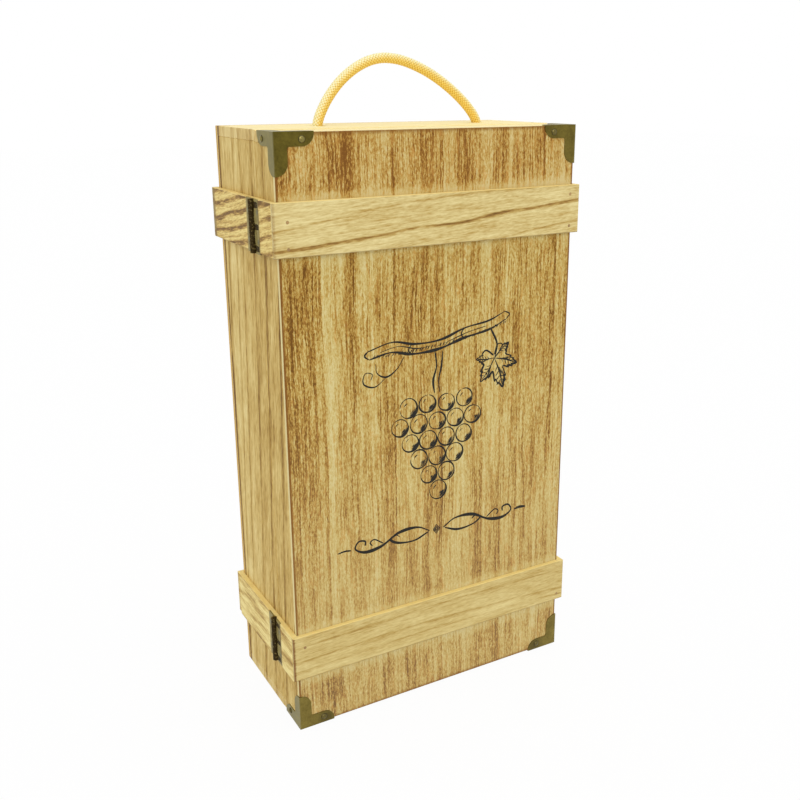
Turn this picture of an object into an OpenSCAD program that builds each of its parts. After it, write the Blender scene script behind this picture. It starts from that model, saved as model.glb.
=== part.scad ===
// Wooden box for two wine bottles. A shallow lid is hinged on the left, like the cover of a book, and
// closes a deeper box. Belts of battens run round both, and the hinges are let into the left battens.
// Front is -Y, up is +Z. The origin is the middle of the box's footprint, on the surface it stands on.

/* [Box] */
// Width of the box across its front, without the battens
box_w = 195; // [150:1:260]
// Height of the box
box_h = 360; // [340:1:440]
// Depth of the box from front panel to back panel, without the battens
box_d = 93; // [86:1:120]
// Depth of the lid, from the front face to the parting line
lid_d = 27.4; // [20:0.1:36]
// Thickness of the side, top and bottom boards
board_t = 6; // [4.5:0.1:9]
// Thickness of the front and back panels
panel_t = 3; // [2:0.1:4]
// Width of the chamfer that eases the edges of every board
edge_ease = 0.3; // [0.1:0.05:0.8]
// Gap between the closed lid and the box
parting_gap = 0.3; // [0.2:0.05:1]

/* [Inside] */
// Thickness of the divider between the bottles
divider_t = 6; // [3:0.5:12]
// Thickness of the neck rests
neck_rest_t = 6; // [4:0.5:10]
// Height of the underside of the neck rests above the bottom board
neck_rest_h = 242; // [200:1:270]
// Diameter of the bottles that the box holds
bottle_d = 76; // [68:1:80]
// Diameter of the bottles' necks
bottle_neck_d = 30; // [26:1:34]
// Width of the notch that takes a neck
neck_notch_w = 33; // [30:1:40]

/* [Battens] */
// Height of each batten
batten_h = 29.5; // [22:0.1:36]
// Thickness of the front and back battens
face_batten_t = 3; // [2:0.1:5]
// Thickness of the side battens
side_batten_t = 3.5; // [2.5:0.1:5]
// Distance from the top of the box down to the upper battens
upper_batten_drop = 35.9; // [28:0.1:60]
// Distance from the floor up to the lower battens
lower_batten_rise = 36.6; // [28:0.1:60]
// How much further down than the front and back battens the lower side battens reach
lower_side_drop = 1.6; // [0:0.1:3]

/* [Metal corners] */
// Thickness of the corners' sheet metal
corner_t = 0.5; // [0.3:0.05:0.8]
// Width of each arm of a corner
corner_w = 7.3; // [6:0.1:9]
// How far the corners' arms stop short of the parting line
corner_setback = 4.9; // [1:0.1:7]
// Radius of the round at the end of each arm
corner_round = 7; // [4:0.1:9]
// Diameter of the nails' domed heads
nail_head_d = 4; // [2.6:0.1:4.6]
// Distance along an arm from the corner to its nail
nail_reach = 15.6; // [12:0.1:17]

/* [Hinges] */
// Width of a hinge opened flat
hinge_w = 19; // [14:0.1:24]
// How far the hinges reach below the upper battens
hinge_overhang = 0.7; // [0:0.1:1.5]
// Thickness of the hinge leaves
leaf_t = 0.9; // [0.6:0.1:1.2]
// Outer diameter of the knuckles
knuckle_d = 3.7; // [2.6:0.1:4]
// Number of knuckles in a hinge
knuckle_count = 5; // [3:2:7]
// Diameter of the hinge pins
hinge_pin_d = 1.5; // [1:0.1:1.8]
// How far the hinge axis stands off the faces of the side battens
hinge_axis_proud = 0.4; // [0.2:0.05:1]
// Distance from a leaf's outer edge to its screws
hinge_screw_edge = 2.3; // [2:0.1:2.6]
// Distance between the two screws of a leaf
hinge_screw_pitch = 16; // [10:0.5:20]

/* [Hasp] */
// Height of the hasp's plates
hasp_plate_h = 22; // [18:0.5:30]
// Thickness of the hasp's sheet metal
hasp_t = 0.8; // [0.5:0.1:1.2]
// Outer diameter of the hasp's knuckles
hasp_knuckle_d = 2.8; // [2.4:0.1:3.6]
// Diameter of the hasp's pin
hasp_pin_d = 1.3; // [1:0.1:1.6]
// Height of the swinging hasp at its knuckle
hasp_h = 12; // [8:0.5:16]
// Distance from the hasp's axis to the nib that it snaps over
hasp_reach = 12.5; // [10:0.5:18]
// Diameter of the nib's head
nib_d = 3.2; // [2.4:0.1:4]
// Distance from the parting line to the hasp's axis
hasp_axis_back = 3.5; // [2.5:0.1:8]

/* [Fasteners] */
// Diameter of the brads' shanks
brad_d = 1.2; // [0.8:0.1:1.6]
// Length of the brads in the battens
batten_brad_len = 12; // [8:0.5:16]
// Length of the brads in the corners of the frames
frame_brad_len = 16; // [12:0.5:22]
// Diameter of the screws' shanks
screw_d = 1.5; // [1.2:0.1:2]
// Diameter of the screws' countersunk heads
screw_head_d = 2.8; // [2.2:0.1:3.2]
// Length of the hinge screws
hinge_screw_len = 7; // [5:0.5:8]
// Length of the hasp's screws
hasp_screw_len = 5; // [3.5:0.5:6]

/* [Rope handle] */
// Diameter of the rope
rope_d = 6.2; // [5:0.1:8]
// Diameter of the knots inside the box
knot_d = 16; // [14:0.5:20]
// Length of the rope's tail below a knot
knot_tail = 8; // [4:0.5:14]
// Distance of the handle behind the middle of the box
rope_y = 10; // [2:0.5:20]

/* [Fits] */
// Radial clearance of a fastener in its hole
fastener_clear = 0.05; // [0.02:0.01:0.1]
// Radial clearance of a pin in its knuckles
pin_clear = 0.05; // [0.02:0.01:0.1]
// Gap along the axis between two knuckles
knuckle_gap = 0.2; // [0.1:0.05:0.4]
// Clearance round a knuckle in the leaf opposite
knuckle_relief = 0.8; // [0.3:0.05:1]
// Clearance round a knuckle in the battens
groove_clear = 0.2; // [0.15:0.05:0.5]
// Clearance round a hinge leaf in its recess
recess_clear = 0.1; // [0.05:0.05:0.3]
// Clearance round the rope in its holes
rope_clear = 0.75; // [0.5:0.05:1.5]
// Clearance round the nib in the hasp
nib_clear = 0.3; // [0.25:0.05:0.6]
// Gap between the hasp and the catch plate
hasp_gap = 0.3; // [0.2:0.05:0.6]
// Gap between a knot and the top board
knot_gap = 0.3; // [0.2:0.05:0.5]

/* [Hidden] */
$fn = 48;

// Colours
torched = [0.80, 0.63, 0.33];
pale_board = [0.86, 0.77, 0.52];
inner_board = [0.91, 0.84, 0.66];
batten_wood = [0.90, 0.79, 0.50];
bronze = [0.43, 0.38, 0.22];
dark_bronze = [0.30, 0.26, 0.15];
steel = [0.45, 0.42, 0.36];
rope_yellow = [1.00, 0.86, 0.46];

// Faces of the woodwork
side_x = box_w / 2;
inner_x = side_x - board_t;
batten_x = side_x + side_batten_t;
front_y = -box_d / 2;
back_y = box_d / 2;
parting_y = front_y + lid_d;
lid_edge_y = parting_y - parting_gap / 2;
box_edge_y = parting_y + parting_gap / 2;
behind_front_panel_y = front_y + panel_t;
// Front face of the back panel
back_panel_y = back_y - panel_t;
// The lid's boards stop short of the box's ends by the corners' metal, which then ends flush with them
lid_bottom_z = corner_t;
lid_top_z = box_h - corner_t;

// Belts of battens, by the height of their lower edge
LOWER = 0;
UPPER = 1;
belt_z = [lower_batten_rise, box_h - upper_batten_drop - batten_h];
// How much further down than the front and back battens each belt's side battens reach
side_drop = [lower_side_drop, 0];

// Directions that a fastener is driven in from, as the turn that points +Z into the wood
FRONT = [-90, 0, 0];
BACK = [90, 0, 0];
LEFT = [0, 90, 0];
RIGHT = [0, -90, 0];
TOP = [180, 0, 0];
BOTTOM = [0, 0, 0];

// Fasteners
brad_head_d = 1.5 * brad_d;
brad_head_h = 0.6;
screw_head_h = (screw_head_d - screw_d) / 2;
nail_head_h = 1;
nail_len = 5;
// Front brads: side, belt, place across the side board's thickness, height as a share of half a batten
front_brads = [
  [-1, UPPER, 0.78, 0.29], [-1, UPPER, 0.78, -0.68], [1, UPPER, 0.58, 0.62], [1, UPPER, 0.58, -0.7],
  [-1, LOWER, 0.65, 0.47], [1, LOWER, 0.22, -0.7]];
back_brads = [for (side = [-1, 1], belt = [LOWER, UPPER], up = [-0.6, 0.6]) [side, belt, 0.5, up]];
// Share of the box's depth where its frame brads stand, and the lid's distance from the parting line
frame_brad_shares = [0.2, 0.8];
lid_brad_setback = 4;

// Metal corners
corner_arm = lid_d - corner_setback;
corner_inner_round = 1.2;

// Hinges. Each starts a little below the top edges of its battens.
hinge_top_gap = 0.35;
hinge_h = batten_h - hinge_top_gap + hinge_overhang;
hinge_z = [for (belt = [LOWER, UPPER]) belt_z[belt] - hinge_overhang];
hinge_x = -batten_x - hinge_axis_proud;
knuckle_pitch = hinge_h / knuckle_count;

// Hasp, at half height on the right side
hasp_x = side_x + hasp_knuckle_d / 2 + groove_clear;
hasp_y = parting_y - hasp_axis_back;
hasp_z = box_h / 2;
hasp_flap_x = side_x + hasp_t + hasp_gap;
hasp_lip_d = 1.8;
hasp_plate_len = 13;
hasp_corner_r = 2;
// Distances of the plates' screws from the ends of the plates, and of the lid plate's from its front edge
hasp_screw_end = 3;
hasp_screw_edge = 3.5;
hasp_screw_z = hasp_plate_h / 2 - hasp_screw_end;
nib_x = side_x + 2 * hasp_t + hasp_gap + nib_d / 2;
nib_stem_d = 0.6 * nib_d;
nib_y = hasp_y + hasp_reach;
catch_setback = 2.5;
catch_half = nib_y - box_edge_y - catch_setback;

// Neck rests: the notch's round holds a neck at the height where its bottle lies on the back panel
bay_x = (inner_x + divider_t / 2) / 2;
bay_w = inner_x - divider_t / 2;
notch_y = back_panel_y - bottle_d / 2 - (neck_notch_w - bottle_neck_d) / 2;

// Rope: its route's points, as distance right of the middle and height above the box's top
rope_arch = [
  [-48, -3], [-47.9, 0], [-46.9, 4], [-44.8, 8.6], [-41.5, 14.2], [-37.3, 19.8], [-32.4, 25], [-26.8, 29.6],
  [-20.2, 33.7], [-12.7, 36.8], [-5, 38.3], [2.6, 38.1], [9.9, 36.8], [17.2, 34.5], [24.8, 31.4], [32, 27.7],
  [39.3, 23.2], [46.1, 18.3], [51.9, 13.5], [56.5, 9], [60, 4.8], [62.2, 1.1], [63.2, -1.6], [63.4, -4.2]];
rope_left_x = -48;
rope_right_x = 63.4;
rope_end_up = -board_t - knot_gap;
rope_route = [
  for (p = concat([[rope_left_x, rope_end_up]], rope_arch, [[rope_right_x, rope_end_up]]))
    [p[0], rope_y, box_h + p[1]]];
rope_hole_d = rope_d + 2 * rope_clear;
// The holes' mouths are eased so that they don't chafe the rope
rope_hole_ease = 1.5;
rope_sides = 12;
// Share of a knot's round that is flattened where it bears on the board
knot_flat = 0.14;

// ---- Boards ----

// A rectangle with chamfered corners
module eased_rect(w, h, ease) {
  polygon([
    [ease, 0], [w - ease, 0], [w, ease], [w, h - ease],
    [w - ease, h], [ease, h], [0, h - ease], [0, ease]]);
}

// A board from its lowest to its highest corner, with every edge eased
module board(low, high, ease = edge_ease) {
  size = high - low;
  translate(low) intersection() {
    linear_extrude(size.z) eased_rect(size.x, size.y, ease);
    translate([0, size.y, 0]) rotate([90, 0, 0]) linear_extrude(size.y) eased_rect(size.x, size.z, ease);
    rotate([90, 0, 90]) linear_extrude(size.x) eased_rect(size.y, size.z, ease);
  }
}

// ---- Fasteners, each driven along +Z from the surface at Z = 0 ----

module driven(from, at) {
  translate(at) rotate(from) children();
}

module brad(len, clear) {
  cylinder(d = brad_head_d + 2 * clear, h = brad_head_h + clear);
  cylinder(d = brad_d + 2 * clear, h = len + clear);
}

module screw(len, clear) {
  cylinder(d1 = screw_head_d + 2 * clear, d2 = screw_d + 2 * clear, h = screw_head_h);
  cylinder(d = screw_d + 2 * clear, h = len + clear);
}

// A nail with a domed head that stands on the metal
module nail(len, clear) {
  dome_r = (pow(nail_head_d / 2, 2) + pow(nail_head_h, 2)) / (2 * nail_head_h);
  rotate_extrude() intersection() {
    translate([0, dome_r - nail_head_h]) circle(dome_r);
    translate([0, -nail_head_h]) square([nail_head_d / 2, nail_head_h]);
  }
  cylinder(d = brad_d + 2 * clear, h = len + clear);
}

// Height of a batten brad, which is given as a share of half a batten above or below its middle
function brad_z(b) = belt_z[b[1]] + batten_h / 2 * (1 + b[3]);

function brad_x(b) = b[0] * (side_x - b[2] * board_t);

module lid_brad_set(clear) {
  for (b = front_brads) driven(FRONT, [brad_x(b), front_y - face_batten_t, brad_z(b)])
    brad(batten_brad_len, clear);
  for (side = [-1, 1]) {
    x = side * (side_x - board_t / 2);
    driven(TOP, [x, lid_edge_y - lid_brad_setback, lid_top_z]) brad(frame_brad_len, clear);
    driven(BOTTOM, [x, lid_edge_y - lid_brad_setback, lid_bottom_z]) brad(frame_brad_len, clear);
  }
}

module box_brad_set(clear) {
  for (b = back_brads) driven(BACK, [brad_x(b), back_y + face_batten_t, brad_z(b)])
    brad(batten_brad_len, clear);
  for (side = [-1, 1], share = frame_brad_shares) {
    x = side * (side_x - board_t / 2);
    y = box_edge_y + share * (back_panel_y - box_edge_y);
    driven(TOP, [x, y, box_h]) brad(frame_brad_len, clear);
    driven(BOTTOM, [x, y, 0]) brad(frame_brad_len, clear);
  }
}

module corner_nail_set(clear) {
  for (side = [-1, 1], z = [lid_bottom_z + corner_w / 2, lid_top_z - corner_w / 2]) {
    driven(FRONT, [side * (side_x - nail_reach), front_y - corner_t, z]) nail(nail_len, clear);
    driven(side < 0 ? LEFT : RIGHT, [side * (side_x + corner_t), front_y + nail_reach, z])
      nail(nail_len, clear);
  }
}

// Screws of the hinge leaves on one side of the parting line: toward = -1 for the lid, 1 for the box
module hinge_screw_set(toward, clear) {
  for (belt = [LOWER, UPPER], up = [-1, 1]) {
    z = hinge_z[belt] + (hinge_h + up * hinge_screw_pitch) / 2;
    reach = hinge_w / 2 - hinge_screw_edge;
    driven(LEFT, [-batten_x, parting_y + toward * reach, z]) screw(hinge_screw_len, clear);
  }
}

module lid_screw_set(clear) {
  hinge_screw_set(-1, clear);
  for (up = [-1, 1])
    driven(RIGHT, [side_x + hasp_t, hasp_y - hasp_plate_len + hasp_screw_edge, hasp_z + up * hasp_screw_z])
      screw(hasp_screw_len, clear);
}

module box_screw_set(clear) {
  hinge_screw_set(1, clear);
  for (up = [-1, 1])
    driven(RIGHT, [side_x + hasp_t, nib_y, hasp_z + up * hasp_screw_z]) screw(hasp_screw_len, clear);
}

module drilled_for_lid() {
  difference() {
    children();
    lid_brad_set(fastener_clear);
    corner_nail_set(fastener_clear);
    lid_screw_set(fastener_clear);
  }
}

module drilled_for_box() {
  difference() {
    children();
    box_brad_set(fastener_clear);
    box_screw_set(fastener_clear);
  }
}

// ---- Box ----

module back_panel() {
  color(torched) drilled_for_box() board([-side_x, back_panel_y, 0], [side_x, back_y, box_h]);
}

module box_side(side) {
  x = [min(side * inner_x, side * side_x), max(side * inner_x, side * side_x)];
  color(pale_board) drilled_for_box()
    board([x[0], box_edge_y, board_t], [x[1], back_panel_y, box_h - board_t]);
}

module box_top_board() {
  color(pale_board) difference() {
    drilled_for_box() board([-side_x, box_edge_y, box_h - board_t], [side_x, back_panel_y, box_h]);
    for (x = [rope_left_x, rope_right_x]) translate([x, rope_y, box_h]) {
      translate([0, 0, -board_t - 1]) cylinder(d = rope_hole_d, h = board_t + 2);
      translate([0, 0, -rope_hole_ease])
        cylinder(d1 = rope_hole_d, d2 = rope_hole_d + 2 * rope_hole_ease, h = rope_hole_ease);
    }
  }
}

module box_bottom_board() {
  color(pale_board) drilled_for_box() board([-side_x, box_edge_y, 0], [side_x, back_panel_y, board_t]);
}

module divider() {
  color(inner_board)
    board([-divider_t / 2, box_edge_y, board_t], [divider_t / 2, back_panel_y, box_h - board_t]);
}

// A shelf across one bay, with a notch open to the front for the bottle's neck
module neck_rest(side) {
  depth = back_panel_y - box_edge_y;
  color(inner_board) translate([side * bay_x, 0, board_t + neck_rest_h]) linear_extrude(neck_rest_t)
    difference() {
      translate([-bay_w / 2, box_edge_y]) square([bay_w, depth]);
      translate([0, notch_y]) circle(d = neck_notch_w);
      translate([-neck_notch_w / 2, box_edge_y - 1]) square([neck_notch_w, notch_y - box_edge_y + 1]);
    }
}

// ---- Battens ----

// A batten across the front or the back, whose ends cover those of the side battens
module face_batten(belt, from_y) {
  board([-batten_x, from_y, belt_z[belt]], [batten_x, from_y + face_batten_t, belt_z[belt] + batten_h]);
}

module front_batten(belt) {
  color(batten_wood) drilled_for_lid() face_batten(belt, front_y - face_batten_t);
}

module back_batten(belt) {
  color(batten_wood) drilled_for_box() face_batten(belt, back_y);
}

// The part of a side batten between two depths
module side_batten(side, belt, y0, y1) {
  x = [min(side * side_x, side * batten_x), max(side * side_x, side * batten_x)];
  color(batten_wood) board([x[0], y0, belt_z[belt] - side_drop[belt]], [x[1], y1, belt_z[belt] + batten_h]);
}

// Room for a hinge in the left battens: a recess for the leaves and a groove for the knuckles
module hinge_recess(belt) {
  z = belt_z[belt] - side_drop[belt] - 1;
  h = batten_h + side_drop[belt] + 2;
  half = hinge_w / 2 + recess_clear;
  translate([-batten_x - 1, parting_y - half, z]) cube([leaf_t + 1, 2 * half, h]);
  translate([hinge_x, parting_y, z]) cylinder(r = knuckle_d / 2 + groove_clear, h = h);
}

module left_batten_front(belt) {
  color(batten_wood) drilled_for_lid() difference() {
    side_batten(-1, belt, front_y, lid_edge_y);
    hinge_recess(belt);
  }
}

module left_batten_rear(belt) {
  color(batten_wood) drilled_for_box() difference() {
    side_batten(-1, belt, box_edge_y, back_y);
    hinge_recess(belt);
  }
}

// ---- Lid ----

module front_panel() {
  color(torched) drilled_for_lid()
    board([-side_x, front_y, lid_bottom_z], [side_x, behind_front_panel_y, lid_top_z]);
}

module lid_side(side) {
  x = [min(side * inner_x, side * side_x), max(side * inner_x, side * side_x)];
  color(pale_board) drilled_for_lid()
    board([x[0], behind_front_panel_y, lid_bottom_z + board_t], [x[1], lid_edge_y, lid_top_z - board_t]);
}

// The lid's top or bottom board, by its lower face
module lid_end_board(z) {
  color(pale_board) drilled_for_lid()
    board([-side_x, behind_front_panel_y, z], [side_x, lid_edge_y, z + board_t]);
}

// ---- Metal corners ----

// One leaf of a corner: two arms with rounded ends, from the corner at the origin
module corner_leaf() {
  arm = corner_arm + corner_t;
  wide = corner_w + corner_t;
  for (lie = [0, 1]) mirror([lie, -lie]) difference() {
    square([arm, wide]);
    translate([arm - corner_round, wide - corner_round]) difference() {
      square(corner_round + 1);
      circle(corner_round);
    }
  }
  translate([wide, wide]) difference() {
    translate([-corner_t, -corner_t]) square(corner_inner_round + corner_t);
    translate([corner_inner_round, corner_inner_round]) circle(corner_inner_round);
  }
}

// Three leaves folded round a corner of the lid
module metal_corner(side, up) {
  color(bronze) difference() {
    translate([side * (side_x + corner_t), front_y - corner_t, up > 0 ? box_h : 0])
      mirror([side > 0 ? 1 : 0, 0, 0]) mirror([0, 0, up > 0 ? 1 : 0]) {
        linear_extrude(corner_t) corner_leaf();
        translate([0, corner_t, 0]) rotate([90, 0, 0]) linear_extrude(corner_t) corner_leaf();
        rotate([90, 0, 90]) linear_extrude(corner_t) corner_leaf();
      }
    corner_nail_set(fastener_clear);
  }
}

// ---- Hinges ----

// A leaf with its knuckles. toward = 1 is the box's leaf, which has the end knuckles; -1 is the lid's.
module hinge_leaf(belt, toward) {
  first = toward > 0 ? 0 : 1;
  reach = knuckle_d / 2 + knuckle_relief;
  color(bronze) difference() {
    translate([hinge_x, parting_y, hinge_z[belt]]) mirror([0, toward > 0 ? 0 : 1, 0])
      difference() {
        union() {
          translate([hinge_axis_proud, 0, 0]) cube([leaf_t, hinge_w / 2, hinge_h]);
          for (k = [first : 2 : knuckle_count - 1])
            translate([0, 0, k * knuckle_pitch + knuckle_gap / 2])
              cylinder(d = knuckle_d, h = knuckle_pitch - knuckle_gap);
        }
        for (k = [1 - first : 2 : knuckle_count - 1])
          translate([-knuckle_d, -reach, k * knuckle_pitch - knuckle_gap / 2])
            cube([2 * knuckle_d + leaf_t, 2 * reach, knuckle_pitch + knuckle_gap]);
        translate([0, 0, -1]) cylinder(d = hinge_pin_d + 2 * pin_clear, h = hinge_h + 2);
      }
    hinge_screw_set(toward, fastener_clear);
  }
}

module hinge_pin(belt) {
  color(dark_bronze) translate([hinge_x, parting_y, hinge_z[belt]])
    cylinder(d = hinge_pin_d, h = hinge_h);
}

// ---- Hasp on the right side ----

// A plate against the right side, from one depth to another, with its corners rounded at the given ends
module rounded_plate(y0, y1, ends) {
  translate([side_x, 0, hasp_z]) rotate([90, 0, 90]) linear_extrude(hasp_t) difference() {
    translate([y0, -hasp_plate_h / 2]) square([y1 - y0, hasp_plate_h]);
    for (up = [0, 1], back = ends)
      translate([back ? y1 : y0, (up - 0.5) * hasp_plate_h]) mirror([1 - back, 0]) mirror([0, 1 - up])
        translate([-hasp_corner_r, -hasp_corner_r]) difference() {
          square(hasp_corner_r + 1);
          circle(hasp_corner_r);
        }
  }
}

// The plate on the lid, with a knuckle above and below the swinging hasp
module hasp_plate() {
  knuckle_h = (hasp_plate_h - hasp_h) / 2 - knuckle_gap;
  relief = hasp_knuckle_d / 2 + knuckle_relief;
  color(bronze) difference() {
    union() {
      rounded_plate(hasp_y - hasp_plate_len, hasp_y, [0]);
      for (up = [-1, 1]) translate([hasp_x, hasp_y, hasp_z + up * (hasp_plate_h - knuckle_h) / 2])
        cylinder(d = hasp_knuckle_d, h = knuckle_h, center = true);
    }
    translate([side_x - 1, hasp_y - relief, hasp_z - hasp_h / 2 - knuckle_gap])
      cube([hasp_knuckle_d + 2, 2 * relief, hasp_h + 2 * knuckle_gap]);
    translate([hasp_x, hasp_y, hasp_z])
      cylinder(d = hasp_pin_d + 2 * pin_clear, h = hasp_plate_h + 2, center = true);
    lid_screw_set(fastener_clear);
  }
}

module hasp_pin() {
  color(dark_bronze) translate([hasp_x, hasp_y, hasp_z])
    cylinder(d = hasp_pin_d, h = hasp_plate_h, center = true);
}

// The swinging flap, with a hole that snaps over the nib and a rolled lip for the finger
module hasp() {
  color(bronze) difference() {
    union() {
      translate([hasp_flap_x, hasp_y, hasp_z]) rotate([90, 0, 90]) linear_extrude(hasp_t) {
        translate([0, -hasp_h / 2]) square([hasp_reach, hasp_h]);
        translate([hasp_reach, 0]) circle(d = hasp_h);
      }
      translate([hasp_x, hasp_y, hasp_z]) cylinder(d = hasp_knuckle_d, h = hasp_h, center = true);
      translate([hasp_flap_x + hasp_t, hasp_y + hasp_reach + hasp_h / 2 - hasp_lip_d / 2, hasp_z])
        cylinder(d = hasp_lip_d, h = hasp_h / 2, center = true);
    }
    translate([hasp_x, hasp_y, hasp_z])
      cylinder(d = hasp_pin_d + 2 * pin_clear, h = hasp_h + 2, center = true);
    driven(RIGHT, [hasp_flap_x + hasp_t + 1, nib_y, hasp_z])
      cylinder(d = nib_d + 2 * nib_clear, h = hasp_t + 2);
  }
}

// The plate on the box, with the nib that the hasp snaps over
module catch_plate() {
  color(bronze) {
    difference() {
      rounded_plate(nib_y - catch_half, nib_y + catch_half, [0, 1]);
      box_screw_set(fastener_clear);
    }
    translate([side_x, nib_y, hasp_z]) rotate([0, 90, 0]) cylinder(d = nib_stem_d, h = nib_x - side_x);
    translate([nib_x, nib_y, hasp_z]) sphere(d = nib_d);
  }
}

// ---- Rope handle ----

// A tube through points that lie in a plane across the box, closed at its ends
module flat_route_tube(points, d, sides) {
  last = len(points) - 1;
  rings = [
    for (i = [0 : last])
      let (step = points[min(i + 1, last)] - points[max(i - 1, 0)],
           across = cross(step / norm(step), [0, 1, 0]))
        for (s = [0 : sides - 1])
          points[i] + d / 2 * (cos(360 * s / sides) * across + sin(360 * s / sides) * [0, 1, 0])];
  walls = [
    for (i = [0 : last - 1], s = [0 : sides - 1])
      let (a = i * sides + s, b = i * sides + (s + 1) % sides)
        each [[a, b, b + sides], [a, b + sides, a + sides]]];
  caps = [[for (s = [sides - 1 : -1 : 0]) s], [for (s = [0 : sides - 1]) last * sides + s]];
  polyhedron(points = rings, faces = concat(walls, caps));
}

module rope_handle() {
  color(rope_yellow) flat_route_tube(rope_route, rope_d, rope_sides);
}

// A knot drawn up under the top board, with the rope's tail below it
module rope_knot(x) {
  round_r = knot_d / 2 - rope_d / 4;
  middle = (knot_flat - 1) * round_r;
  color(rope_yellow) translate([x, rope_y, box_h + rope_end_up]) {
    rotate_extrude() intersection() {
      translate([rope_d / 4, middle]) circle(round_r);
      translate([0, 2 * middle]) square([knot_d, -2 * middle]);
    }
    translate([0, 0, 2 * middle - knot_tail]) cylinder(d = rope_d, h = knot_tail + 1);
  }
}

back_panel();
box_side(-1);  // box_left_side
box_side(1);  // box_right_side
box_top_board();
box_bottom_board();
divider();
neck_rest(-1);  // neck_rest_left
neck_rest(1);  // neck_rest_right
left_batten_rear(UPPER);  // upper_left_batten_rear
side_batten(1, UPPER, box_edge_y, back_y);  // upper_right_batten_rear
left_batten_rear(LOWER);  // lower_left_batten_rear
side_batten(1, LOWER, box_edge_y, back_y);  // lower_right_batten_rear
back_batten(UPPER);  // upper_back_batten
back_batten(LOWER);  // lower_back_batten
hinge_leaf(UPPER, 1);  // upper_hinge_box_leaf
hinge_leaf(LOWER, 1);  // lower_hinge_box_leaf
hinge_pin(UPPER);  // upper_hinge_pin
hinge_pin(LOWER);  // lower_hinge_pin
catch_plate();
color(steel) box_brad_set(0);  // box_brads
color(steel) box_screw_set(0);  // box_screws
rope_handle();
rope_knot(rope_left_x);  // rope_knot_left
rope_knot(rope_right_x);  // rope_knot_right
front_panel();
lid_side(-1);  // lid_left_side
lid_side(1);  // lid_right_side
lid_end_board(lid_top_z - board_t);  // lid_top_board
lid_end_board(lid_bottom_z);  // lid_bottom_board
front_batten(UPPER);  // upper_front_batten
front_batten(LOWER);  // lower_front_batten
left_batten_front(UPPER);  // upper_left_batten_front
side_batten(1, UPPER, front_y, lid_edge_y);  // upper_right_batten_front
left_batten_front(LOWER);  // lower_left_batten_front
side_batten(1, LOWER, front_y, lid_edge_y);  // lower_right_batten_front
metal_corner(-1, 1);  // corner_top_left
metal_corner(1, 1);  // corner_top_right
metal_corner(-1, -1);  // corner_bottom_left
metal_corner(1, -1);  // corner_bottom_right
color(bronze) corner_nail_set(0);  // corner_nails
hinge_leaf(UPPER, -1);  // upper_hinge_lid_leaf
hinge_leaf(LOWER, -1);  // lower_hinge_lid_leaf
hasp_plate();
hasp_pin();
color(steel) lid_brad_set(0);  // lid_brads
color(steel) lid_screw_set(0);  // lid_screws
hasp();
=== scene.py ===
"""Looks of a wooden box for two wine bottles, with bronze fittings and a braided rope handle.

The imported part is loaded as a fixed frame. This script adds the camera, the braided rope with its
knots, the ink ornament on the lid, a finish for each piece, and plain studio light.
Blender's own lengths are metres. Names that end in _MM, and the coordinates inside a finish, are
millimetres.
"""

import math
from random import Random

import bpy
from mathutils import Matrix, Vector


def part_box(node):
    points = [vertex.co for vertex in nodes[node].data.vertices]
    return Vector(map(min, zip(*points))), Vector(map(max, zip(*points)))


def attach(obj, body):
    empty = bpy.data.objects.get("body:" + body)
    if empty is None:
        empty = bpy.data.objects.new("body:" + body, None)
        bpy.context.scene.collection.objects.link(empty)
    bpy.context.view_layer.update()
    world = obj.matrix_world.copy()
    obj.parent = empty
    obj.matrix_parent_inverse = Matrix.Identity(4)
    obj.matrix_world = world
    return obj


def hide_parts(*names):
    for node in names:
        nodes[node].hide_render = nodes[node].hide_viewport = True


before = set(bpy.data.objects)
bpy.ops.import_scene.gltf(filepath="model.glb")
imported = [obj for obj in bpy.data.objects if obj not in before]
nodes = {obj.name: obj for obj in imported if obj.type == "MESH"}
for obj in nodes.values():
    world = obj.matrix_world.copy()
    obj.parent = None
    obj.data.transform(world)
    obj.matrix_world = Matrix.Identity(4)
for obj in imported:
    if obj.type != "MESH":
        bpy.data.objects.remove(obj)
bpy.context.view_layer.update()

MM = 0.001
TURN = 2 * math.pi

# ---- Camera, at the photograph's viewing angle ----

CAMERA_PLACE = (-0.282856, -0.527296, 0.382442)
CAMERA_TILT_DEG = 72.962
CAMERA_TURN_DEG = -30.305
CAMERA_LENS_MM = 43.3167
CAMERA_SHIFT = (-0.04244, -0.02404)

bpy.ops.object.select_all(action="DESELECT")
bpy.ops.object.camera_add(
    location=CAMERA_PLACE,
    rotation=(math.radians(CAMERA_TILT_DEG), 0, math.radians(CAMERA_TURN_DEG)),
)
camera = bpy.context.object
camera.data.sensor_width = 36
camera.data.lens = CAMERA_LENS_MM
camera.data.shift_x, camera.data.shift_y = CAMERA_SHIFT
camera.data.clip_start = 0.02
camera.data.clip_end = 30
bpy.context.scene.camera = camera
bpy.context.scene.view_settings.view_transform = "Standard"

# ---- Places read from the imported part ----


def place_mm(node_name, end, axis):
    """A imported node's lowest (0) or highest (1) place along an axis, to 0.01 mm."""
    return round(getattr(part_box(node_name)[end], axis) / MM, 2)


def middle_mm(node_name, axis):
    """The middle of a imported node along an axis."""
    return (place_mm(node_name, 0, axis) + place_mm(node_name, 1, axis)) / 2


# Z of the top board's upper and lower face, X of the box's right side, Y of its two panels' outer
# faces, and the panels' thickness
BOX_TOP_MM = place_mm("box_top_board", 1, "z")
TOP_BOARD_FOOT_MM = place_mm("box_top_board", 0, "z")
BOX_SIDE_MM = place_mm("box_right_side", 1, "x")
PANEL_FACE_MM = place_mm("front_panel", 0, "y")
PANEL_BACK_MM = place_mm("back_panel", 1, "y")
PANEL_MM = place_mm("front_panel", 1, "y") - PANEL_FACE_MM
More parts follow.
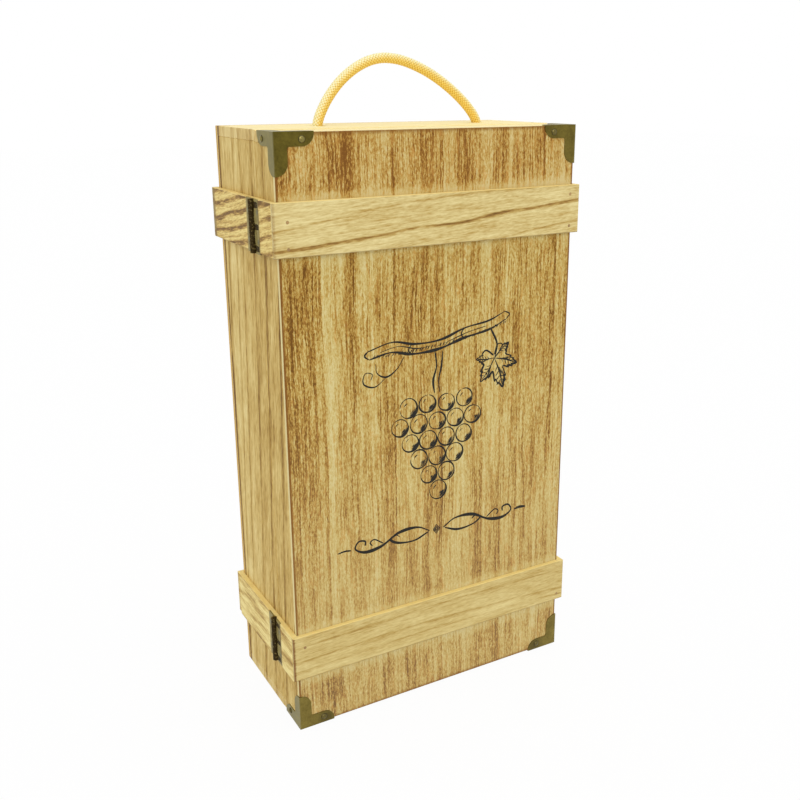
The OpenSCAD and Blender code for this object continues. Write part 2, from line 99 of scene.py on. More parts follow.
# Y of the front and X of the right side of the battens and of the metal corners
BATTEN_FACE_MM = place_mm("upper_front_batten", 0, "y")
BATTEN_SIDE_MM = place_mm("upper_front_batten", 1, "x")
CORNER_FACE_MM = place_mm("corner_top_right", 0, "y")
CORNER_SIDE_MM = place_mm("corner_top_right", 1, "x")

# The lower hinge's axis, foot and height, and how much higher the upper hinge is
KNUCKLES = 5
HINGE_X_MM = middle_mm("lower_hinge_pin", "x")
HINGE_Y_MM = middle_mm("lower_hinge_pin", "y")
HINGE_FOOT_MM = place_mm("lower_hinge_pin", 0, "z")
HINGE_HEIGHT_MM = place_mm("lower_hinge_pin", 1, "z") - HINGE_FOOT_MM
HINGE_RISE_MM = place_mm("upper_hinge_pin", 0, "z") - HINGE_FOOT_MM

# ---- Rope handle and its knots ----

ROPE_MM = 6.2
ROPE_Y_MM = 10
# X and height above the box's top along the rope's middle, from the left knot to the right knot
ROPE_ARCH_MM = [
    (-48, -6.3), (-48, -3), (-47.9, 0), (-46.9, 4), (-44.8, 8.6), (-41.5, 14.2), (-37.3, 19.8),
    (-32.4, 25), (-26.8, 29.6), (-20.2, 33.7), (-12.7, 36.8), (-5, 38.3), (2.6, 38.1), (9.9, 36.8),
    (17.2, 34.5), (24.8, 31.4), (32, 27.7), (39.3, 23.2), (46.1, 18.3), (51.9, 13.5), (56.5, 9),
    (60, 4.8), (62.2, 1.1), (63.2, -1.6), (63.4, -4.2), (63.4, -6.3),
]
KNOT_ROPE_MM = 5.9
KNOT_TOP_MM = place_mm("rope_knot_left", 1, "z")
KNOT_TURN_RADIUS_MM = 4.9

CARRIERS = 8
# Length of rope in which one strand goes round once, in rope diameters
BRAID_PITCH = 2.5
STEPS_PER_PITCH = 56
STRAND_SIDES = 6
CORE_SIDES = 16
# Half a strand's thickness, half its width, and how far it weaves in and out, in rope radii
STRAND_SHARES = (0.11, 0.30, 0.085)
# (distance past the rope's end, radius) along the bead of a sealed end, in rope radii
SEAL_BEAD = [(-0.9, 0.86), (-0.5, 0.99), (0.0, 1.02), (0.35, 0.93), (0.6, 0.7), (0.74, 0.36)]


def smooth_path(points, spacing):
    """Points about `spacing` apart on a smooth curve through the given ones."""
    padded = [2 * points[0] - points[1], *points, 2 * points[-1] - points[-2]]
    fine = []
    for a, b, c, d in zip(padded, padded[1:], padded[2:], padded[3:]):
        for part in range(20):
            t = part / 20
            fine.append(
                0.5 * (2 * b + (c - a) * t + (2 * a - 5 * b + 4 * c - d) * t**2
                       + (3 * b - a - 3 * c + d) * t**3)
            )
    fine.append(points[-1])
    run = [0.0]
    for a, b in zip(fine, fine[1:]):
        run.append(run[-1] + (b - a).length)
    count = max(2, round(run[-1] / spacing))
    even, k = [], 0
    for i in range(count + 1):
        want = run[-1] * i / count
        while k < len(run) - 2 and run[k + 1] < want:
            k += 1
        even.append(fine[k].lerp(fine[k + 1], (want - run[k]) / (run[k + 1] - run[k])))
    return even


def travelling_frames(path):
    """(tangent, side, up) at each point, turned as little as the path allows."""
    frames = []
    side = None
    for i, point in enumerate(path):
        tangent = (path[min(i + 1, len(path) - 1)] - path[max(i - 1, 0)]).normalized()
        if side is None:
            side = tangent.orthogonal().normalized()
        side = (side - tangent * side.dot(tangent)).normalized()
        frames.append((tangent, side, tangent.cross(side)))
    return frames


def strand_sizes(radius):
    """(half thickness, half width, weave, distance from the rope's middle) of a strand."""
    half_thick, half_wide, weave = (share * radius for share in STRAND_SHARES)
    return half_thick, half_wide, weave, radius - half_thick - weave


def strand_rings(path, frames, diameter, way, carrier):
    """Rings of (corner, UV, crown, fading) along one strand; `way` is its hand, 1 or -1."""
    half_thick, half_wide, weave, middle = strand_sizes(diameter / 2)
    spacing = (path[1] - path[0]).length
    centres, outs, turns = [], [], []
    for i, (point, (_, side, up)) in enumerate(zip(path, frames)):
        turned = i * spacing / (BRAID_PITCH * diameter)
        angle = TURN * (way * turned + carrier / CARRIERS)
        out = side * math.cos(angle) + up * math.sin(angle)
        lift = way * weave * math.cos(TURN * CARRIERS * turned)
        centres.append(point + out * (middle + lift))
        outs.append(out)
        turns.append(turned)
    rings = []
    for i, (centre, out, turned) in enumerate(zip(centres, outs, turns)):
        ahead = centres[min(i + 1, len(centres) - 1)] - centres[max(i - 1, 0)]
        across = ahead.cross(out).normalized()
        tangent = frames[i][0]
        # How far the strand faces the outside of the arch, which the rope's finish paints paler as
        # light
        fading = 0.5 + 0.5 * out.dot(Vector((-tangent.z, 0, tangent.x)))
        lift = way * math.cos(TURN * CARRIERS * turned)
        ring = []
        for k in range(STRAND_SIDES):
            high, wide = math.sin(TURN * k / STRAND_SIDES), math.cos(TURN * k / STRAND_SIDES)
            corner = centre + out * (half_thick * high) + across * (half_wide * wide)
            # How high a point sits on its strand; the rope's finish paints the low ones in shade
            crown = 0.5 + 0.25 * lift + 0.25 * high
            ring.append((corner, (turned, k / STRAND_SIDES), crown, fading))
        rings.append(ring)
    return rings


def core_rings(path, frames, diameter, sealed_end):
    """Rings of (corner, UV, crown, fading) along the core, with a bead on a sealed end."""
    half_thick, _, _, middle = strand_sizes(diameter / 2)
    spacing = (path[1] - path[0]).length
    core = middle - 0.4 * half_thick
    profile = [(point, core, axes) for point, axes in zip(path, frames)][::3]
    if profile[-1][0] is not path[-1]:
        profile.append((path[-1], core, frames[-1]))
    if sealed_end:
        for shift, share in SEAL_BEAD:
            past = frames[-1][0] * shift * (diameter / 2)
            profile.append((path[-1] + past, share * (diameter / 2), frames[-1]))
    rings = []
    for i, (point, wide, (_, side, up)) in enumerate(profile):
        turned = i * 3 * spacing / (BRAID_PITCH * diameter)
        crown = 0.0 if wide == core else 0.3
        ring = []
        for k in range(CORE_SIDES):
            turn = TURN * k / CORE_SIDES
            corner = point + (side * math.cos(turn) + up * math.sin(turn)) * wide
            ring.append((corner, (turned, k / CORE_SIDES), crown, 0.3))
        rings.append(ring)
    return rings


def braided_rope(name, path, diameter, sealed_end=False):
    """A round plait of crossing strands over a core, all one mesh. A sealed end is melted shut."""
    frames = travelling_frames(path)
    tubes = [
        strand_rings(path, frames, diameter, way, carrier)
        for way in (1, -1)
        for carrier in range(CARRIERS)
    ]
    tubes.append(core_rings(path, frames, diameter, sealed_end))
    corners, faces = [], []
    for rings in tubes:
        first, sides = len(corners), len(rings[0])
        last = first + (len(rings) - 1) * sides
        for start in range(first, last, sides):
            for k in range(sides):
                a, b = start + k, start + (k + 1) % sides
                faces.append((a, b, b + sides, a + sides))
        faces.append(tuple(range(first + sides - 1, first - 1, -1)))
        faces.append(tuple(range(last, last + sides)))
        for ring in rings:
            corners += ring
    places, uvs, crowns, fading = (list(values) for values in zip(*corners))

    mesh = bpy.data.meshes.new(name)
    mesh.from_pydata(places, [], faces)
    layer = mesh.uv_layers.new(name="strand")
    loops = [loop.vertex_index for loop in mesh.loops]
    layer.data.foreach_set("uv", [value for v in loops for value in uvs[v]])
    for attribute, values in (("crown", crowns), ("fading", fading)):
        mesh.attributes.new(attribute, "FLOAT", "POINT").data.foreach_set("value", values)
    mesh.polygons.foreach_set("use_smooth", [True] * len(mesh.polygons))
    braid = bpy.data.objects.new(name, mesh)
    bpy.context.scene.collection.objects.link(braid)
    return braid


def knot_path(x_mm, way):
    """Middle of the rope in a stopper knot: down, once round itself, back through and out below."""
    points = [(0, 0, 0), (0, 0, -2.4), (0.9, 0.1, -5.4), (3.0, 0.5, -8.0)]
    for step in range(9):
        turn = math.radians(12 + 40 * step)
        height = -8.1 + 4.3 * step / 8
        points.append(
            (KNOT_TURN_RADIUS_MM * math.cos(turn), KNOT_TURN_RADIUS_MM * math.sin(turn), height)
        )
    points += [
        (2.4, -2.6, -3.6), (0.2, -1.9, -5.8), (-0.6, -0.9, -9.5), (-0.5, -0.3, -13),
        (-0.2, 0, -15.6),
    ]
    return [Vector((x_mm + way * x, ROPE_Y_MM + y, KNOT_TOP_MM + z)) * MM for x, y, z in points]


rope_points = [Vector((x, ROPE_Y_MM, BOX_TOP_MM + up)) * MM for x, up in ROPE_ARCH_MM]
rope_spacing = BRAID_PITCH * ROPE_MM * MM / STEPS_PER_PITCH
rope_path = smooth_path(rope_points, rope_spacing)
rope = braided_rope("braided_rope", rope_path, ROPE_MM * MM)
knots = []
for label, (x_mm, _), way in (("left", ROPE_ARCH_MM[0], 1), ("right", ROPE_ARCH_MM[-1], -1)):
    route = smooth_path(knot_path(x_mm, way), rope_spacing)
    knot = braided_rope(f"stopper_knot_{label}", route, KNOT_ROPE_MM * MM, sealed_end=True)
    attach(knot, "box")
    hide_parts(f"rope_knot_{label}")
    knots.append(knot)
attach(rope, "box")
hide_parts("rope_handle")
rope_length = sum((b - a).length for a, b in zip(rope_path, rope_path[1:]))

# ---- Printed motif: grapes under a vine cane, with a scroll below ----

INK_PROUD_MM = 0.05
PEN_WEIGHT = 1.75
PEN_STEP_MM = 0.9
GRAPE_RADIUS_MM = 6.1
GRAPES = [(-19.5, 197), (-6.5, 198), (7, 197), (20, 198), (-25.5, 185.5), (-12.5, 186), (0.5, 186),
          (13.5, 186), (26, 186), (-18.5, 174.5), (-6, 174.5), (7, 174.5), (19.5, 174.5),
          (-12.5, 163), (0.5, 163), (13, 163), (-5.5, 151.5), (7, 151.5), (1, 140)]
BARK_MARKS = 46
BARK_STEP_MM = 2.05
LEAF_X_MM, LEAF_Z_MM, LEAF_TURN_DEG = 42, 220, -72
# (angle, reach) of the leaf's lobes, and (angle from a lobe's middle, share of its reach) of teeth
LOBES = [(-112, 13.5), (-54, 17.5), (0, 21), (54, 17.5), (112, 13.5)]
TEETH = [
    (-17, 0.74), (-14, 0.66), (-9, 0.86), (-7, 0.8), (0, 1.0),
    (7, 0.8), (9, 0.86), (14, 0.66), (17, 0.74),
]
SCROLL_Z_MM = 113
# (points, width) of each stroke of the scroll's right half
SCROLL = [
    ([(5, 113), (14, 117.5), (27, 117), (39, 111), (50, 109.5), (57, 113), (55, 117.5),
      (50.5, 117), (50.5, 114)], 1.25),
    ([(6, 112.5), (16, 109), (27, 110), (33, 113.5), (29.5, 116), (26.5, 114)], 0.95),
    ([(38, 112.5), (44, 116.5), (47, 115), (45.5, 112.5)], 0.8),
    ([(60, 113), (64, 113.6), (69, 113)], 1.0),
]
hand = Random(23)


def pen_line(points, width, shake=0.12, taper=0.35):
    """A pen stroke as (x, z, width): it swells in the middle and shakes a little."""
    path = smooth_path([Vector((x, 0, z)) for x, z in points], PEN_STEP_MM)
    phase, beat = hand.uniform(0, 6), hand.uniform(0.18, 0.3)
    stroke = []
    for k, point in enumerate(path):
        part = k / (len(path) - 1)
        press = taper + (1 - taper) * math.sin(math.pi * part) ** 0.6
        press = press * (1 + 0.28 * math.sin(k * beat + phase))
        wander = shake * math.sin(k * beat * 0.7 + phase * 2)
        stroke.append((point.x + wander, point.z + wander * 0.6, PEN_WEIGHT * width * press))
    return stroke


def arc(x, z, radius, start, sweep, squash=1.0):
    """(x, z) points along an arc, in degrees from the right, anticlockwise."""
    count = max(4, round(abs(sweep) / 24))
    turns = [math.radians(start + sweep * k / count) for k in range(count + 1)]
    return [(x + radius * math.cos(t), z + radius * squash * math.sin(t)) for t in turns]


def grape_strokes():
    """Each grape's outline, the shade at its lower right, its highlight and its hatching."""
    strokes = []
    for x, z in GRAPES:
        radius = GRAPE_RADIUS_MM * hand.uniform(0.92, 1.0)
        squash = hand.uniform(0.94, 1.05)
        start = hand.uniform(60, 200)
        strokes.append(pen_line(arc(x, z, radius, start, hand.uniform(345, 385), squash), 0.62))
        shade = arc(x + 0.3, z - 0.2, radius * 0.97, -100, hand.uniform(95, 150))
        strokes.append(pen_line(shade, 0.8))
        strokes.append(pen_line(arc(x, z, radius * 0.55, 105, hand.uniform(40, 60)), 0.4))
        for k in range(hand.choice((4, 5, 6))):
            inset = radius * (0.86 - 0.1 * k)
            strokes.append(pen_line(arc(x, z, inset, -84 + 5 * k, 84 - 11 * k), 0.42))
    return strokes


def cane_strokes():
    """The grapes' stalk, the cane above it with its cut ends, and the marks of its bark."""
    lower_edge = [
        (-45, 231), (-30, 233.5), (-16, 230.5), (2, 231.5), (20, 236), (38, 239), (50, 244),
    ]
    upper_edge = [
        (-46, 236), (-30, 239.5), (-15, 236.5), (3, 237), (20, 242), (37, 244.5), (49, 249),
    ]
    strokes = [
        pen_line([(-1.5, 204), (-2.5, 212), (0, 221), (-1, 230)], 0.9),
        pen_line([(2.2, 204), (1.4, 212), (3.4, 220), (4.5, 230)], 0.7),
        pen_line(lower_edge, 1.1),
        pen_line(upper_edge, 0.9),
        pen_line([(-45, 231), (-48, 233.5), (-46, 236)], 0.8),
        pen_line([(50, 244), (52.5, 247), (49, 249)], 0.8),
        pen_line([(-38, 234.5), (-26, 236.5), (-14, 233.5), (-4, 234)], 0.4),
        pen_line([(6, 234.5), (22, 239), (36, 241.5)], 0.4),
        pen_line([(-17, 230), (-19, 233.5), (-16.5, 237.5)], 0.6),
        pen_line([(19, 235.5), (17.5, 239), (20, 242.5)], 0.6),
    ]
    for k in range(BARK_MARKS):
        x = -43 + BARK_STEP_MM * k + hand.uniform(-0.5, 0.5)
        low = 231.2 + 0.07 * max(0, x + 20) + 0.0022 * max(0, x) ** 2
        strokes.append(pen_line([(x, low), (x + 1.6, low + hand.uniform(1.2, 2.6))], 0.42))
    return strokes


def tendril_strokes():
    """A tendril that hangs from the cane's left end and curls up."""
    hanging = [(-22, 230), (-27, 223), (-34, 219), (-40, 222), (-41, 228)]
    curled = [(-34, 219), (-42, 214), (-49, 217), (-48, 223), (-43.5, 222), (-44.5, 218.5)]
    return [pen_line(hanging, 0.6), pen_line(curled, 0.55)]


def on_leaf(turn, reach):
    """A point of the leaf from its polar place, the middle lobe at 0."""
    angle = math.radians(LEAF_TURN_DEG + turn)
    return LEAF_X_MM + reach * math.cos(angle), LEAF_Z_MM + reach * math.sin(angle)


def leaf_strokes():
    """The leaf's rim, each lobe's veins with the hatching beside them, and the leaf's stalk."""
    rim = [on_leaf(-168, 2.2), on_leaf(-150, 8.5)]
    for turn, reach in LOBES:
        rim += [on_leaf(turn + swing, reach * share) for swing, share in TEETH]
        if turn < LOBES[-1][0]:
            rim.append(on_leaf(turn + 28, 8.8))
    rim += [on_leaf(150, 8.5), on_leaf(168, 2.2)]
    strokes = [pen_line(rim, 0.8, taper=0.7)]
    root = (LEAF_X_MM, LEAF_Z_MM)
    for turn, reach in LOBES:
        bend = on_leaf(turn + 5, reach * 0.5)
        strokes.append(pen_line([root, bend, on_leaf(turn, reach * 0.92)], 0.6))
        for share in (0.3, 0.45, 0.6, 0.74):
            for side in (-1, 1):
                start = on_leaf(turn + 5 * (1 - share), reach * share)
                end = on_leaf(turn + side * 13, reach * (share + 0.13))
                strokes.append(pen_line([start, end], 0.36))
        for k in range(5):
            start = on_leaf(turn + 7 + 2 * k, reach * (0.3 + 0.05 * k))
            end = on_leaf(turn + 6 + 1.5 * k, reach * (0.5 + 0.05 * k))
            strokes.append(pen_line([start, end], 0.3))
    strokes.append(pen_line([root, (43.5, 229), (39, 239)], 1.0))
    return strokes


def scroll_strokes():
    """The scroll's halves, mirrored about the middle, and the lozenges between them."""
    strokes = []
    for way in (-1, 1):
        for points, width in SCROLL:
            strokes.append(pen_line([(way * x, z) for x, z in points], width, shake=0.0))
    for reach in (2.4, 1.5, 0.7):
        lozenge = [(-1, 0), (0, 1.3), (1, 0), (0, -1.3), (-1, 0)]
        strokes.append([(reach * x, SCROLL_Z_MM + reach * z, 0.8) for x, z in lozenge])
    return strokes


strokes = [
    *grape_strokes(), *cane_strokes(), *tendril_strokes(), *leaf_strokes(), *scroll_strokes(),
]
bpy.ops.object.select_all(action="DESELECT")
bpy.ops.object.add(type="CURVE", location=(0, 0, 0))
motif = bpy.context.object
motif.name = "printed_vine_motif"
motif.data.dimensions = "3D"
motif.data.bevel_depth = 0.5 * MM
motif.data.bevel_resolution = 1
motif.data.use_fill_caps = True
for stroke in strokes:
    line = motif.data.splines.new("POLY")
    line.points.add(len(stroke) - 1)
    for point, (x, z, width) in zip(line.points, stroke):
        point.co = (x * MM, 0, z * MM, 1)
        point.radius = width
bpy.ops.object.convert(target="MESH")
motif = bpy.context.object
bpy.ops.transform.resize(value=(1, 2 * INK_PROUD_MM, 1), center_override=(0, 0, 0))
bpy.ops.transform.translate(value=(0, PANEL_FACE_MM * MM, 0))
bpy.ops.object.transform_apply(location=True, rotation=True, scale=True)
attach(motif, "lid")

# ---- Shader maths ----


def tint(red, green, blue):
    """A colour as it is seen, 0 to 255, in the form that sockets take."""
    parts = [c / 255 for c in (red, green, blue)]
    return tuple(c / 12.92 if c <= 0.04045 else ((c + 0.055) / 1.055) ** 2.4 for c in parts) + (1,)


class Field:
    """One output of a node. Arithmetic on it adds Math nodes to its tree."""

    def __init__(self, maker, socket):
        self.maker = maker
        self.socket = socket

    def __add__(self, other):
        return self.maker.maths("ADD", self, other)

    def __radd__(self, other):
        return self.maker.maths("ADD", other, self)

    def __sub__(self, other):
        return self.maker.maths("SUBTRACT", self, other)

    def __rsub__(self, other):
        return self.maker.maths("SUBTRACT", other, self)

    def __mul__(self, other):
        return self.maker.maths("MULTIPLY", self, other)

    def __rmul__(self, other):
        return self.maker.maths("MULTIPLY", other, self)

    def __truediv__(self, other):
        return self.maker.maths("DIVIDE", self, other)

    def __pow__(self, other):
        return self.maker.maths("POWER", self, other)

    def __abs__(self):
        return self.maker.maths("ABSOLUTE", self)


class NodeMaker:
    """Adds nodes to one tree."""

    def __init__(self, tree):
        self.tree = tree

    def node(self, kind, settings=None, sockets=None, output=0):
        """Adds a node: its settings first, then the values or links of its sockets."""
        made = self.tree.nodes.new(kind)
        for name, value in (settings or {}).items():
            if name == "stops":
                ramp = made.color_ramp.elements
                ramp[0].position, ramp[0].color = value[0]
                ramp[-1].position, ramp[-1].color = value[-1]
                for place, colour in value[1:-1]:
                    ramp.new(place).color = colour
            elif name == "points":
                made.mapping.use_clip = False
                line = made.mapping.curves[0].points
                line[0].location, line[-1].location = value[0], value[-1]
                for point in value[1:-1]:
                    line.new(*point)
                made.mapping.update()
            else:
                setattr(made, name, value)
        for name, value in (sockets or {}).items():
            if isinstance(value, Field):
                self.tree.links.new(value.socket, made.inputs[name])
            else:
                made.inputs[name].default_value = value
        return Field(self, made.outputs[output])

    def maths(self, operation, *values):
        return self.node("ShaderNodeMath", {"operation": operation}, dict(enumerate(values)))


class Finish(NodeMaker):
    """A material in the making, with the surface's place in millimetres as x, y and z."""

    def __init__(self, name, roughness, metallic=0.0, specular=0.5):
        self.material = bpy.data.materials.new(name)
        self.material.use_nodes = True
        super().__init__(self.material.node_tree)
        self.shader = self.tree.nodes["Principled BSDF"]
        self.shader.inputs["Roughness"].default_value = roughness
        self.shader.inputs["Metallic"].default_value = metallic
        self.shader.inputs["Specular IOR Level"].default_value = specular
        place = self.node("ShaderNodeTexCoord", output="Object")
        in_mm = self.node(
            "ShaderNodeVectorMath", {"operation": "SCALE"}, {"Vector": place, "Scale": 1 / MM}
        )
        split = self.node("ShaderNodeSeparateXYZ", sockets={"Vector": in_mm}).socket.node
        self.x, self.y, self.z = (Field(self, out) for out in split.outputs)

    def noise_at(self, place, detail=2.0, rough=0.5):
        """Soft noise about 0, from about -0.5 to 0.5, one wave of it a unit long."""
        sockets = {"Vector": place, "Scale": 1.0, "Detail": detail, "Roughness": rough}
        return self.node("ShaderNodeTexNoise", sockets=sockets) - 0.5

    def noise(self, x, y, z, detail=2.0, rough=0.5):
        """The same noise at the place that three numbers or fields give."""
        place = self.node("ShaderNodeCombineXYZ", sockets={0: x, 1: y, 2: z})
        return self.noise_at(place, detail, rough)

    def step(self, value, low, high):
        """A smooth step from 0 at low to 1 at high."""
        sockets = {"Value": value, "From Min": low, "From Max": high}
        return self.node("ShaderNodeMapRange", {"interpolation_type": "SMOOTHSTEP"}, sockets)

    def bump(self, value, middle, reach):
        """1 at the middle, down to 0 at reach to either side."""
        return 1 - self.step(abs(value - middle), 0.0, reach)

    def line(self, along, points):
        """Height at `along` of a smooth line through the points."""
        low, high = points[0][0], points[-1][0]
        base = min(v for _, v in points)
        rise = max(max(v for _, v in points) - base, 1e-6)
        shape = [((u - low) / (high - low), (v - base) / rise) for u, v in points]
        share = (along - low) / (high - low)
        return self.node("ShaderNodeFloatCurve", {"points": shape}, {"Value": share}) * rise + base

    def mix(self, share, first, second):
        """The first colour where the share is 0, the second where it is 1."""
        settings = {"data_type": "RGBA", "blend_type": "MIX"}
        return self.node("ShaderNodeMix", settings, {0: share, 6: first, 7: second}, output=2)

    def ramp(self, share, stops):
        """The colour at that share of a ramp of (place, colour)."""
        return self.node("ShaderNodeValToRGB", {"stops": stops}, {0: share})

    def paint(self, colour, height, depth_mm, strength, roughness=None):
        """Joins the colour, and a relief of that depth, to the shader."""
        sockets = {"Height": height, "Distance": depth_mm * MM, "Strength": strength}
        relief = self.node("ShaderNodeBump", sockets=sockets)
        for name, value in {"Base Color": colour, "Normal": relief, "Roughness": roughness}.items():
            if value is not None:
                self.tree.links.new(value.socket, self.shader.inputs[name])
        return self.material


# ---- Studio light and the white setting ----

SURROUND = 0.62
FLOOR_WHITENING = 0.94
FLOOR_M = 12
WHITE = (1, 1, 1, 1)
LIGHT_AIM = Vector((0, 0, 0.18))


def white_rays(maker):
    """1 for camera, glossy and transmission rays, and 0 for the light that falls on the object."""
    total = maker.node("ShaderNodeLightPath", output="Is Camera Ray")
    rays = total.socket.node.outputs
    for name in ("Is Glossy Ray", "Is Transmission Ray"):
        total = maker.maths("MAXIMUM", total, Field(maker, rays[name]))
    return total


def sun(name, energy, place, spread):
    """A sun that shines on the box from that place, with shadows as soft as its spread."""
    bpy.ops.object.light_add(type="SUN", location=place)
    light = bpy.context.object
    light.name = name
    light.data.energy = energy
    light.data.angle = spread
    light.rotation_euler = (LIGHT_AIM - Vector(place)).to_track_quat("-Z", "Y").to_euler()


def floor_white():
    """A pale floor that takes a soft shadow and is almost white to the camera."""
    paint = Finish("floor_white", 1, specular=0)
    paint.shader.inputs["Base Color"].default_value = (0.95, 0.95, 0.95, 1)
    glow = paint.node("ShaderNodeEmission", sockets={"Color": WHITE})
    share = white_rays(paint) * FLOOR_WHITENING
    lit = Field(paint, paint.shader.outputs[0])
    whitened = paint.node("ShaderNodeMixShader", sockets={0: share, 1: lit, 2: glow})
    surface = paint.tree.nodes["Material Output"].inputs["Surface"]
    paint.tree.links.new(whitened.socket, surface)
    return paint.material


world = bpy.data.worlds.new("studio")
bpy.context.scene.world = world
world.use_nodes = True
air = NodeMaker(world.node_tree)
level = air.node(
    "ShaderNodeMapRange", sockets={"Value": white_rays(air), "To Min": SURROUND, "To Max": 1.0}
)
backing = world.node_tree.nodes["Background"]
backing.inputs["Color"].default_value = WHITE
world.node_tree.links.new(level.socket, backing.inputs["Strength"])

sun("key_light", 0.88, (-0.9, -1.5, 1.3), 0.5)
sun("top_light", 0.7, (0.2, -0.3, 2.0), 0.9)

bpy.ops.mesh.primitive_plane_add(size=FLOOR_M)
floor = bpy.context.object
floor.name = "floor"
floor.data.materials.append(floor_white())

# ---- Wood ----

# Each list of tones goes from the palest wood to the darkest, as (tone, colour)
BURNT_TONES = [
    (0.0, tint(216, 200, 142)), (0.22, tint(208, 187, 119)), (0.46, tint(193, 162, 88)),
    (0.64, tint(177, 137, 63)), (0.82, tint(151, 109, 42)), (1.0, tint(114, 76, 26)),
]
PLAIN_PANEL_TONES = [
    (0.0, tint(240, 224, 176)), (0.3, tint(228, 206, 150)), (0.55, tint(210, 180, 120)),
    (0.8, tint(180, 144, 86)), (1.0, tint(144, 106, 56)),
]
SIDE_TONES = [
    (0.0, tint(234, 213, 147)), (0.3, tint(215, 187, 115)), (0.55, tint(193, 159, 85)),
    (0.8, tint(154, 119, 54)), (1.0, tint(118, 85, 36)),
]
BATTEN_TONES = [
    (0.0, tint(230, 213, 152)), (0.28, tint(211, 189, 125)), (0.5, tint(190, 159, 88)),
    (0.75, tint(156, 119, 56)), (1.0, tint(116, 82, 36)),
]
DULL_BATTEN_TONES = [
    (0.0, tint(222, 204, 142)), (0.28, tint(204, 181, 116)), (0.5, tint(182, 152, 82)),
    (0.75, tint(148, 113, 52)), (1.0, tint(108, 77, 34)),
]
GOLDEN_BATTEN_TONES = [
    (0.0, tint(240, 218, 142)), (0.28, tint(224, 197, 120)), (0.5, tint(203, 169, 93)),
    (0.75, tint(160, 123, 62)), (1.0, tint(120, 90, 44)),
]
PALE_BATTEN_TONES = [
    (0.0, tint(244, 226, 154)), (0.28, tint(226, 202, 128)), (0.5, tint(202, 171, 96)),
    (0.75, tint(162, 126, 62)), (1.0, tint(116, 84, 40)),
]
# Painted light: the top and bottom boards' tones are paler than the side boards', to stand for the
# light that falls on the top. The inner boards take them too.
TOPLIT_BOARD_TONES = [
    (0.0, tint(255, 244, 190)), (0.35, tint(250, 228, 160)), (0.7, tint(230, 193, 110)),
    (1.0, tint(178, 132, 62)),
]

# (z, strength) of the paler bands beside the battens' edges, where the flame hardly reached
SHIELDED_MM = [(323, 1.0), (294, 0.35), (65, 0.9), (34.5, 0.7)]
SHIELDED_REACH_MM = 8
# (y, tone added) from the front of a side board to its rear
DEPTH_TONES = [(-44, 0.05), (-16, 0.08), (2, 0.02), (14, -0.06), (36, -0.12), (39, -0.08)]


def numbered(line_places):
    """Points of a line that passes 0, 1, 2 ... at the places."""
    return [(place, number) for number, place in enumerate(line_places)]


def panel_rings(wood, across, seed, line_places):
    """(tone of each band between two ring lines, darkness of its late wood) on a panel."""
    rings = wood.line(across * 0.35 + wood.x * 0.65, numbered(line_places))
    share = wood.maths("FRACT", rings)
    fade = wood.noise(rings * 0.7 + seed, 0.0, wood.z / 70, 1) * 2.2 + 0.6
    number = wood.maths("FLOOR", rings)
    band = wood.noise(number * 1.9 + seed, wood.x / 30, wood.z / 240, 1)
    late = wood.step(share, 0.1, 0.98) * 0.16 + wood.step(share, 0.84, 0.96) * 0.14
    late = late * (1 - wood.step(share, 0.97, 1.0)) * wood.step(fade, -0.2, 1.0)
    return band, late


